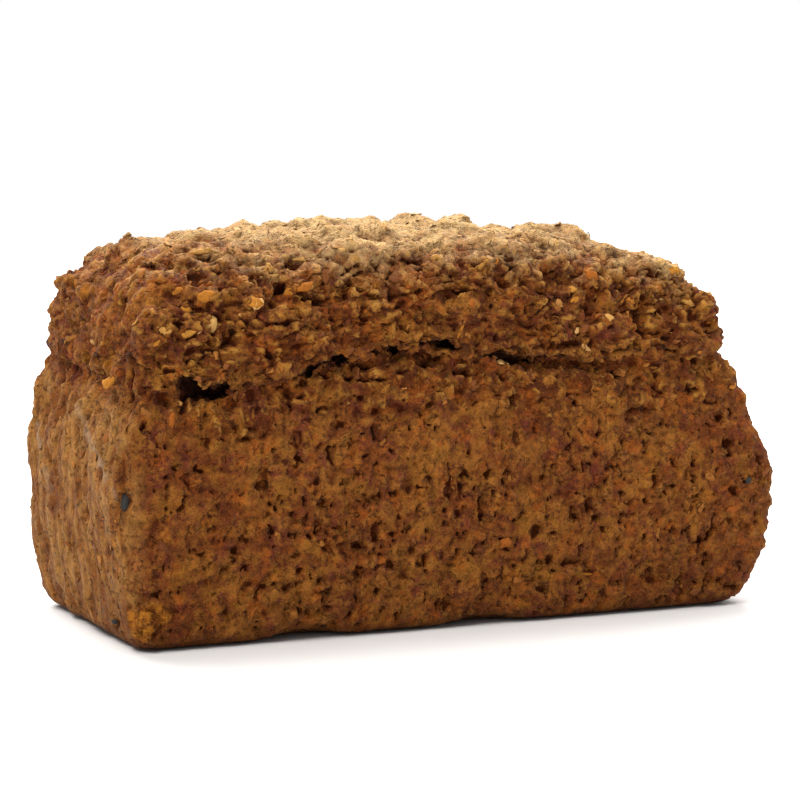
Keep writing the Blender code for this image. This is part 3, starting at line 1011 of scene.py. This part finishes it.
def top_and_end(wiring, at, parts, colour):
    """Pale straw on top as painted sheen, with an uneven edge that is lower on the right, and upright streaks
    on the left end, paled there by painted light.
    """
    ripple = wiring.noise(at, 6 * MM, detail=5.0, roughness=0.7)
    ripple = wiring.math("MULTIPLY_ADD", ripple, 36 * MM, parts["Z"])
    ripple = wiring.math("MULTIPLY_ADD", wiring.noise(at, 19 * MM, detail=1.0), 15 * MM, ripple)
    ripple = wiring.math("MULTIPLY_ADD", fact(wiring, "fine"), 1.2 * MM, ripple)
    ripple = wiring.math("ADD", ripple, wiring.ramp(parts["X"], 35 * MM, 85 * MM, 0.0, 8 * MM))
    ripple = wiring.math("ADD", ripple, wiring.ramp(parts["X"], -55 * MM, -80 * MM, 0.0, -3 * MM))
    spread = wiring.ramp(wiring.noise(at, 11 * MM, detail=2.0), 0.38, 0.52, 0.62, 0.88)
    # Painted sheen where light grazes the top of the crown
    straw = wiring.times(spread, wiring.ramp(ripple, SHEEN_PAINT_FROM, SHEEN_PAINT_FULL))
    colour = mixed(wiring, straw, colour, TOP_PAINTED_SHEEN)

    streaks = wiring.noise(wiring.stretch(at, (1.0, 1.0, 0.3)), STREAK_WIDTH, detail=4.0, roughness=0.65)
    # Painted light: between the umber streaks the end is a pale tan where the window lights it
    end_tone = mixed(wiring, wiring.ramp(streaks, 0.40, 0.60, smooth=False), END_UMBER, END_TAN_PAINTED_LIGHT)
    at_end = wiring.times(fact(wiring, "tin"), wiring.ramp(parts["X"], END_FROM, END_FULL, 0.0, 0.75))
    return mixed(wiring, at_end, colour, end_tone)


# %% Ridges and hollows, partly painted highlight and painted shade
DIP_SHADE_SHARE = 0.9
CREVICE_SHADE_SHARE = 0.36


def with_ridge_highlights(wiring, colour):
    """Proud edges are painted pale, partly the straw of flake edges and partly painted highlight, less so on
    the wall and close to the tear.
    """
    ridge_highlight = wiring.times(
        wiring.ramp(fact(wiring, "fine"), 0.6, 3.0),
        wiring.ramp(fact(wiring, "tin"), 0.0, 1.0, 0.75, 0.25),
        wiring.ramp(wiring.math("ABSOLUTE", fact(wiring, "above")), 1.0 * MM, 4.0 * MM, 0.15, 1.0),
    )
    return mixed(wiring, ridge_highlight, colour, RIDGE_STRAW_AND_HIGHLIGHT)


def hollow_colour_and_shade(wiring, grain, wide):
    """How dark the dips, the wall's pinholes and the crevices are painted: painted shade in all three, and
    some of the crust's own darker colour in the dips.
    """
    dips = wiring.ramp(fact(wiring, "fine"), -0.3, -2.2)
    dips = wiring.math("MAXIMUM", dips, wiring.ramp(fact(wiring, "broad"), -0.35, -1.6))
    pinholes = wiring.times(grain["Hole"], wiring.ramp(wide, 0.46, 0.58, 0.1, 0.5), fact(wiring, "tin"))
    dark = wiring.math("MAXIMUM", wiring.times(dips, DIP_SHADE_SHARE), pinholes)
    return wiring.math("MAXIMUM", dark, wiring.times(grain["Crevice"], CREVICE_SHADE_SHARE))


# %% The crust
CRUST_GRAIN = 2.6 * MM
CRUST_BUMP = 1.0 * MM
# Painted shade along the rim that stands on the table, up to this height
RIM_SHADE_TOP = 4.5 * MM
SLOT_SHADE_SHARE = 0.97
CRUMB_SHARE = 0.85


def crust_material():
    material, wiring, shader, grain_node = baked_material("crust")
    grain_node.inputs["Size"].default_value = CRUST_GRAIN
    grain = grain_node.outputs
    at = wiring.add("ShaderNodeTexCoord").outputs["Object"]
    parts = wiring.add("ShaderNodeSeparateXYZ", {0: at}).outputs
    wide = wiring.noise(at, WIDE_PATCH, detail=1.0)
    colour = dough_colour(wiring, at, parts, wide)
    colour = top_and_end(wiring, at, parts, colour)

    speckle = wiring.ramp(grain["Mottle"], 0.32, 0.68, 0.66, 1.30, smooth=False)
    gritty = wiring.ramp(grain["Grit"], 0.30, 0.70, 0.74, 1.26, smooth=False)
    colour = with_ridge_highlights(wiring, wiring.scaled(colour, wiring.times(speckle, gritty)))
    # Painted shade in dips, pinholes and crevices, with some of the crust's own darker colour in the dips
    dark = hollow_colour_and_shade(wiring, grain, wide)
    # Painted shade: the rim that stands on the table is darkened like a hollow, and the slot of the tear is
    # darker still
    rim_shade = wiring.ramp(parts["Z"], RIM_SHADE_TOP, 0.5 * MM, 0.0, 0.6)
    colour = mixed(wiring, wiring.math("MAXIMUM", dark, rim_shade), colour, HOLLOW_BROWN_AND_SHADE)
    colour = mixed(wiring, wiring.times(fact(wiring, "slot"), SLOT_SHADE_SHARE), colour, SLOT_SHADE_BROWN)

    # Smears lie on the crust, partly grey patches and partly painted sheen, and open crumb has a mottle of
    # its own
    colour = mixed(wiring, fact(wiring, "smear_and_sheen"), colour, LILAC_GREY_AND_SHEEN)
    crumb = mixed(wiring, wiring.ramp(grain["Mottle"], 0.35, 0.65), CRUMB_RUST, CRUMB_ORANGE)
    # The crumb's hollows take the same painted shade
    crumb = mixed(wiring, wiring.times(dark, 0.8), wiring.scaled(crumb, gritty), HOLLOW_BROWN_AND_SHADE)
    colour = mixed(wiring, wiring.times(fact(wiring, "crumb"), CRUMB_SHARE), colour, crumb)
    # Smears are glossier than crust
    roughness = wiring.ramp(grain["Mottle"], 0.3, 0.7, 0.58, 0.78)
    roughness = wiring.math("MULTIPLY_ADD", fact(wiring, "smear_and_sheen"), -0.25, roughness)
    finish_shader(wiring, shader, colour, roughness, grain["Height"], 1.0, CRUST_BUMP)
    return material


crust = crust_material()
print("the crust's material has", len(crust.node_tree.nodes), "nodes")

# %% [markdown]
# ## Flakes, bran and crumbs
# Thousands of bits are baked into the crust. Rolled spelt lies on the crown and on the torn band in flakes up
# to 4 mm long, with smaller bran between, and a few flakes are pressed flat into the walls. Modelling each
# would take days, so one tree scatters them all. It spreads points over the skin, puts a flattened ball on
# each, turns and tilts it, makes the copies real and pushes the whole crowd through a noise, so that no two
# are alike.

# %% The skin that carries them
def skin_copy(name):
    """Both halves as one object, with a fact that is 1 where the outside shows."""
    copies = []
    for half, side in ((crown, 1), (body, -1)):
        copy = bpy.data.objects.new(half.name + "_copy", half.data.copy())
        above = kept_fact(copy, "above")
        height = coordinates(copy.data)[:, 2]
        outside = (side * above > -0.0002) & (height > 0.004) & (kept_fact(copy, "slot") < 0.3)
        keep_fact(copy, "outside", outside)
        keep_fact(copy, "risen", np.full(len(above), 1.0 if side > 0 else 0.0))
        bpy.context.scene.collection.objects.link(copy)
        copies.append(copy)
    with bpy.context.temp_override(active_object=copies[0], selected_editable_objects=copies):
        bpy.ops.object.join()
    copies[0].name = name
    return copies[0]


# %% Chance in a tree
# The tree's named inputs, with numbers to start from. Each scattering sets its own
SCATTER_NUMBERS = {
    "Apart": 1.5 * MM, "Per square metre": 60000.0, "Shortest": 1.0 * MM, "Longest": 2.0 * MM,
    "Slimness": 0.6, "Thickness": 0.2, "Tilt": 0.5, "Lift": 0.2 * MM, "Bend": 0.1, "Ragged": 0.4 * MM,
    "On crown": 1.0, "On tear": 1.0, "On wall": 0.0,
}


def chance(wiring, seed, offset, low=0.0, high=1.0):
    """A random number for each bit. Each use has its own offset, so that no two go together."""
    made = wiring.add("FunctionNodeRandomValue", data_type="FLOAT")
    ends = [socket for socket in made.inputs if socket.enabled and socket.name in ("Min", "Max")]
    for socket, number in zip(ends, (low, high)):
        if isinstance(number, bpy.types.NodeSocket):
            wiring.tree.links.new(number, socket)
        else:
            socket.default_value = number
    seed_socket = next(socket for socket in made.inputs if socket.name == "Seed")
    wiring.tree.links.new(wiring.math("ADD", seed, offset), seed_socket)
    return next(socket for socket in made.outputs if socket.enabled)


def between(wiring, share, first, second):
    return wiring.add("ShaderNodeMix", {0: share, 2: first, 3: second}).outputs[0]


# %% Points on the skin, and one bit
def spread_points(wiring, skin, value, seed):
    """Points on the outside, as many as each kind of crust asks for, crowded here and sparse there."""
    at = wiring.add("GeometryNodeInputPosition").outputs[0]
    beside = between(wiring, read_fact(wiring, "tin"), value["On tear"], value["On wall"])
    share = between(wiring, read_fact(wiring, "risen"), beside, value["On crown"])
    crowd = wiring.ramp(wiring.noise(at, 13 * MM, detail=1.0), 0.42, 0.60, 0.12, 1.0)
    share = wiring.times(share, read_fact(wiring, "outside"), crowd)
    return wiring.add("GeometryNodeDistributePointsOnFaces", {
        "Mesh": skin, "Distance Min": value["Apart"], "Density Max": value["Per square metre"],
        "Density Factor": share, "Seed": seed,
    }, distribute_method="POISSON").outputs


def bowed_ball(wiring, value, segments, rings):
    """A ball of unit size, bent along its length. Its copies are flattened."""
    ball = wiring.add("GeometryNodeMeshUVSphere", {"Segments": segments, "Rings": rings, "Radius": 0.5})
    at = wiring.add("GeometryNodeInputPosition").outputs[0]
    along = wiring.add("ShaderNodeSeparateXYZ", {0: at}).outputs["X"]
    bow = wiring.add("ShaderNodeCombineXYZ", {"Z": wiring.times(along, along, value["Bend"])}).outputs[0]
    inputs = {"Geometry": ball.outputs["Mesh"], "Offset": bow}
    return wiring.add("GeometryNodeSetPosition", inputs).outputs[0]


# %% The tree that scatters
# The size of the noise that pushes the bits out of shape
PUSH_SIZE = 1.4 * MM


def turned_copies(wiring, points, bit, value, seed):
    """A copy of the bit at each point, with its own size, lean, tint and shade."""
    length = chance(wiring, seed, 11, value["Shortest"], value["Longest"])
    slim = wiring.times(value["Slimness"], chance(wiring, seed, 12, 0.7, 1.3))
    thick = wiring.times(value["Thickness"], chance(wiring, seed, 13, 0.7, 1.4))
    sides = {"X": length, "Y": wiring.times(length, slim), "Z": wiring.times(length, thick)}
    tilt = value["Tilt"]
    back = wiring.times(tilt, -1.0)
    lean = wiring.add("ShaderNodeCombineXYZ", {
        "X": chance(wiring, seed, 14, back, tilt), "Y": chance(wiring, seed, 15, back, tilt),
        "Z": chance(wiring, seed, 16, 0.0, 2 * math.pi),
    }).outputs[0]
    turned = wiring.add("FunctionNodeRotateRotation", {
        "Rotation": points["Rotation"],
        "Rotate By": wiring.add("FunctionNodeEulerToRotation", {0: lean}).outputs[0],
    }, rotation_space="LOCAL").outputs[0]
    copies = wiring.add("GeometryNodeInstanceOnPoints", {
        "Points": points["Points"], "Instance": bit, "Rotation": turned,
        "Scale": wiring.add("ShaderNodeCombineXYZ", sides).outputs[0],
    }).outputs[0]
    for name, offset in (("tint", 17), ("shade", 18)):
        inputs = {"Geometry": copies, "Name": name, "Value": chance(wiring, seed, offset)}
        store = wiring.add("GeometryNodeStoreNamedAttribute", inputs, data_type="FLOAT", domain="INSTANCE")
        copies = store.outputs[0]
    lift = wiring.add("ShaderNodeCombineXYZ", {"Z": value["Lift"]}).outputs[0]
    inputs = {"Instances": copies, "Translation": lift, "Local Space": True}
    return wiring.add("GeometryNodeTranslateInstances", inputs).outputs[0]


def scatter_tree(name, segments, rings, material):
    tree, wiring, start, end = relief_tree(name)
    value = number_inputs(tree, start, SCATTER_NUMBERS)
    tree.interface.new_socket("Seed", in_out="INPUT", socket_type="NodeSocketInt")
    seed = start.outputs["Seed"]
    points = spread_points(wiring, start.outputs["Geometry"], value, seed)
    copies = turned_copies(wiring, points, bowed_ball(wiring, value, segments, rings), value, seed)
    real = wiring.add("GeometryNodeRealizeInstances", {0: copies}).outputs[0]
    # One noise pushes all the bits out of shape
    at = wiring.add("GeometryNodeInputPosition").outputs[0]
    push = wiring.noise(at, PUSH_SIZE, detail=1.0, output="Color")
    shove = wiring.scaled(wiring.vector("SUBTRACT", push, (0.5, 0.5, 0.5)), value["Ragged"])
    real = wiring.add("GeometryNodeSetPosition", {"Geometry": real, "Offset": shove}).outputs[0]
    real = wiring.add("GeometryNodeSetShadeSmooth", {"Geometry": real, "Shade Smooth": True}).outputs[0]
    real = wiring.add("GeometryNodeSetMaterial", {"Geometry": real, "Material": material}).outputs[0]
    tree.links.new(real, end.inputs["Geometry"])
    return tree


def scattered(name, material, segments, rings, **numbers):
    """One piece of many bits. The numbers are the tree's inputs, by name, with _ for a blank."""
    piece = skin_copy(name)
    tree = scatter_tree(name.replace("_", " "), segments, rings, material)
    modifier = piece.modifiers.new("scatter", "NODES")
    modifier.node_group = tree
    sockets = [item for item in tree.interface.items_tree if item.in_out == "INPUT"]
    by_name = {socket.name: socket.identifier for socket in sockets}
    for label, number in numbers.items():
        modifier[by_name[label.replace("_", " ")]] = number
    piece = plain_mesh(piece, name)
    piece.data.materials.clear()
    piece.data.materials.append(material)
    print(name, "has", len(piece.data.polygons), "faces and", len(piece.data.vertices), "points")
    return piece


# %% Colours of the bits
BIT_GRAIN = 1.6 * MM
BIT_BUMP = 0.25 * MM


def bits_material(name, stops, darkest=0.72, brightest=1.22, roughness=0.62):
    """Each bit takes its own colour from the stops, by its tint, and its own brightness."""
    material, wiring, shader, grain = baked_material(name)
    grain.inputs["Size"].default_value = BIT_GRAIN
    ramp = wiring.add("ShaderNodeValToRGB", {"Fac": fact(wiring, "tint")})
    elements = ramp.color_ramp.elements
    for place, _ in stops[2:]:
        elements.new(place)
    for element, (place, colour) in zip(sorted(elements, key=lambda e: e.position), sorted(stops)):
        element.position = place
        element.color = colour
    # On the top of the crown the bits get the same painted sheen as the dough between them
    at = wiring.add("ShaderNodeTexCoord").outputs["Object"]
    height = wiring.add("ShaderNodeSeparateXYZ", {0: at}).outputs["Z"]
    top_sheen_paint = mixed(wiring, wiring.ramp(height, 101 * MM, 112 * MM, 0.0, 0.7), ramp.outputs["Color"], TOP_PAINTED_SHEEN)
    shade = wiring.ramp(fact(wiring, "shade"), 0.0, 1.0, darkest, brightest, smooth=False)
    mottle = wiring.ramp(grain.outputs["Mottle"], 0.3, 0.7, 0.8, 1.2, smooth=False)
    colour = wiring.scaled(top_sheen_paint, wiring.times(shade, mottle))
    rough = wiring.ramp(grain.outputs["Mottle"], 0.3, 0.7, roughness - 0.1, roughness + 0.1)
    finish_shader(wiring, shader, colour, rough, grain.outputs["Height"], 0.4, BIT_BUMP)
    return material


FLAKE_STOPS = (
    (0.00, linear(104, 58, 32)), (0.40, linear(124, 74, 34)), (0.70, linear(146, 94, 42)),
    (0.90, linear(168, 118, 62)), (1.00, linear(190, 146, 90)),
)
BRAN_STOPS = ((0.0, linear(96, 52, 29)), (0.5, linear(122, 72, 33)), (1.0, linear(156, 100, 44)))
spelt = bits_material("spelt flakes", FLAKE_STOPS)
bran = bits_material("bran", BRAN_STOPS)
print("colours of the bits:", len(FLAKE_STOPS), "for spelt,", len(BRAN_STOPS), "for bran")

# %% Scattering
pieces = [crown, body]
pieces.append(scattered(
    "spelt_flakes", spelt, segments=9, rings=4, Apart=2.2 * MM, Per_square_metre=30000.0, Shortest=1.4 * MM,
    Longest=4.4 * MM, Slimness=0.50, Thickness=0.10, Tilt=0.26, Lift=-0.18 * MM, Bend=-1.2, Ragged=2.5 * MM,
    On_crown=1.0, On_tear=0.6, On_wall=0.0, Seed=3,
))
pieces.append(scattered(
    "bran_bits", bran, segments=6, rings=4, Apart=1.5 * MM, Per_square_metre=20000.0, Shortest=0.9 * MM,
    Longest=2.6 * MM, Slimness=0.42, Thickness=0.18, Tilt=0.38, Lift=-0.14 * MM, Bend=-0.8, Ragged=2.0 * MM,
    On_crown=1.0, On_tear=0.8, On_wall=0.0, Seed=5,
))
pieces.append(scattered(
    "wall_flakes", bran, segments=8, rings=4, Apart=3.0 * MM, Per_square_metre=16000.0, Shortest=1.4 * MM,
    Longest=3.8 * MM, Slimness=0.6, Thickness=0.10, Tilt=0.14, Lift=-0.03 * MM, Bend=0.0, Ragged=2.2 * MM,
    On_crown=0.0, On_tear=0.0, On_wall=1.0, Seed=9,
))

# %% [markdown]
# ## Flakes and seeds that stand out
# The largest flakes of the photograph are put where they are in it, by the same rays as the pits. Each is a
# flattened, bent and ragged ball, half sunk in the crust and turned as in the picture. Three dark seeds are
# made in the same way, rounder and greyer.

# %% Picked flakes
# Pixel, length and width in mm, turn in degrees from level, tint (0 rust, 0.4 orange, 0.7 yellow, 1 straw)
PICKED = (
    (108, 382, 4.6, 2.4, 25, 0.60), (101, 418, 1.6, 0.9, 80, 0.70), (115, 520, 1.8, 0.9, 85, 0.55),
    (114, 545, 2.6, 1.2, 80, 0.50), (98, 505, 2.6, 1.0, 85, 0.45), (205, 251, 6.4, 1.5, 10, 0.85),
    (176, 291, 4.0, 2.6, 20, 0.55), (205, 297, 5.4, 3.0, 8, 0.55), (186, 309, 3.2, 2.2, -20, 0.65),
    (252, 303, 5.4, 2.8, -6, 0.60), (211, 325, 4.4, 4.0, 60, 0.98), (164, 330, 4.0, 2.2, -12, 0.85),
    (184, 336, 6.6, 2.0, 24, 0.75), (158, 343, 3.0, 1.6, 10, 0.60), (290, 292, 4.8, 2.6, 28, 0.55),
    (304, 287, 5.0, 2.4, 18, 0.45), (322, 291, 4.2, 2.2, -16, 0.45), (298, 259, 4.6, 1.4, -4, 0.95),
    (340, 250, 3.4, 1.2, 0, 0.95), (160, 238, 3.0, 1.4, 0, 0.60), (366, 312, 2.8, 2.2, 40, 0.35),
    (461, 330, 7.6, 0.7, 68, 0.55), (472, 302, 3.0, 1.8, 80, 0.35), (497, 262, 3.2, 2.6, 10, 0.50),
    (592, 275, 4.4, 2.2, -22, 0.40), (572, 289, 3.2, 1.8, 0, 0.75), (607, 317, 3.6, 2.0, -10, 0.90),
    (660, 290, 3.8, 2.4, -50, 0.45), (674, 270, 3.8, 2.4, -25, 0.68), (688, 302, 4.4, 2.2, -28, 0.85),
    (630, 300, 2.8, 1.6, -30, 0.55), (575, 300, 2.6, 1.6, 20, 0.60), (660, 403, 3.4, 2.4, 60, 0.35),
    (596, 388, 3.4, 2.2, 0, 0.45), (700, 352, 2.6, 1.6, 50, 0.50), (733, 386, 2.6, 1.6, 30, 0.60),
    (680, 571, 3.6, 1.3, 8, 0.62), (582, 574, 9.5, 0.9, -8, 0.50), (505, 543, 3.8, 3.0, 30, 0.30),
    (452, 478, 1.8, 0.5, 80, 1.00), (380, 560, 3.4, 2.4, 10, 0.25), (160, 438, 4.0, 2.4, 60, 0.35),
    (172, 420, 4.6, 1.6, 80, 0.30), (732, 510, 3.4, 2.2, 30, 0.20), (645, 470, 3.0, 2.0, 50, 0.20),
)
SEEDS = ((125, 502, 5.6, 2.3, 86), (114, 622, 2.2, 1.5, 20), (748, 481, 2.8, 1.8, 70))
PICKED_STOPS = (
    (0.0, linear(124, 58, 22)), (0.4, linear(148, 84, 30)), (0.7, linear(174, 117, 42)),
    (1.0, linear(180, 139, 80)),
)
SEED_STOPS = ((0.0, linear(44, 46, 46)), (1.0, linear(60, 58, 56)))
SEED_TINT = 0.5
picked = bits_material("picked flakes", PICKED_STOPS, darkest=0.9, brightest=1.1)
seed_coat = bits_material("seed coat", SEED_STOPS, roughness=0.45)
print("picked flakes:", len(PICKED), "seeds:", len(SEEDS))


# %% Laying them on the crust
# How fast the noise on a ball changes, and how much the ball is bent down at its ends
WAVE_RATE = 2.6
BALL_BEND = 0.5

# The noise needs a seed of its own, or its balls would be ragged in another way each time
random.seed(12)
noise.seed_set(12)
skins = [search_tree(piece) for piece in (crown, body)]


def laid_on_crust(name, rows, material, thickness, sunk, ragged):
    """Flattened balls on the crust, in one mesh. Sizes are in mm, and thickness is a share of the width."""
    made = bmesh.new()
    tint_layer = made.verts.layers.float.new("tint")
    shade_layer = made.verts.layers.float.new("shade")
    for column, row, length, width, turn, tint in rows:
        place, normal, long_way, side_way = lie_of(column, row, turn)
        made_now = bmesh.ops.create_uvsphere(made, u_segments=12, v_segments=6, radius=0.5)["verts"]
        shift = Vector([random.uniform(-9, 9) for _ in range(3)])
        shade = random.uniform(0.3, 0.7)
        for vertex in made_now:
            x, y, z = vertex.co
            wave = noise.noise_vector(vertex.co * WAVE_RATE + shift) * ragged
            x, y, z = x + wave.x, y + wave.y, z + 0.5 * wave.z
            out = (z - BALL_BEND * x * x) * thickness * width - sunk
            vertex.co = place + (long_way * x * length + side_way * y * width + normal * out) * MM
            vertex[tint_layer] = tint
            vertex[shade_layer] = shade
    mesh = bpy.data.meshes.new(name)
    made.to_mesh(mesh)
    made.free()
    mesh.shade_smooth()
    mesh.materials.append(material)
    piece = bpy.data.objects.new(name, mesh)
    bpy.context.scene.collection.objects.link(piece)
    print(name, "has", len(mesh.polygons), "faces")
    return piece


pieces.append(laid_on_crust("picked_flakes", PICKED, picked, thickness=0.36, sunk=0.15, ragged=0.30))
tinted_seeds = [row + (SEED_TINT,) for row in SEEDS]
pieces.append(laid_on_crust("seeds", tinted_seeds, seed_coat, thickness=0.65, sunk=0.10, ragged=0.10))

# %% [markdown]
# ## Names for the frame
# The loaf is one body without joints. So every piece rides with that body and has its one finish.

# %% Pieces
for piece in (crown, body):
    piece.data.materials.clear()
    piece.data.materials.append(crust)
    piece.data.shade_smooth()
for piece in pieces:
    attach(piece, "root")
    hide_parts("spelt_loaf")
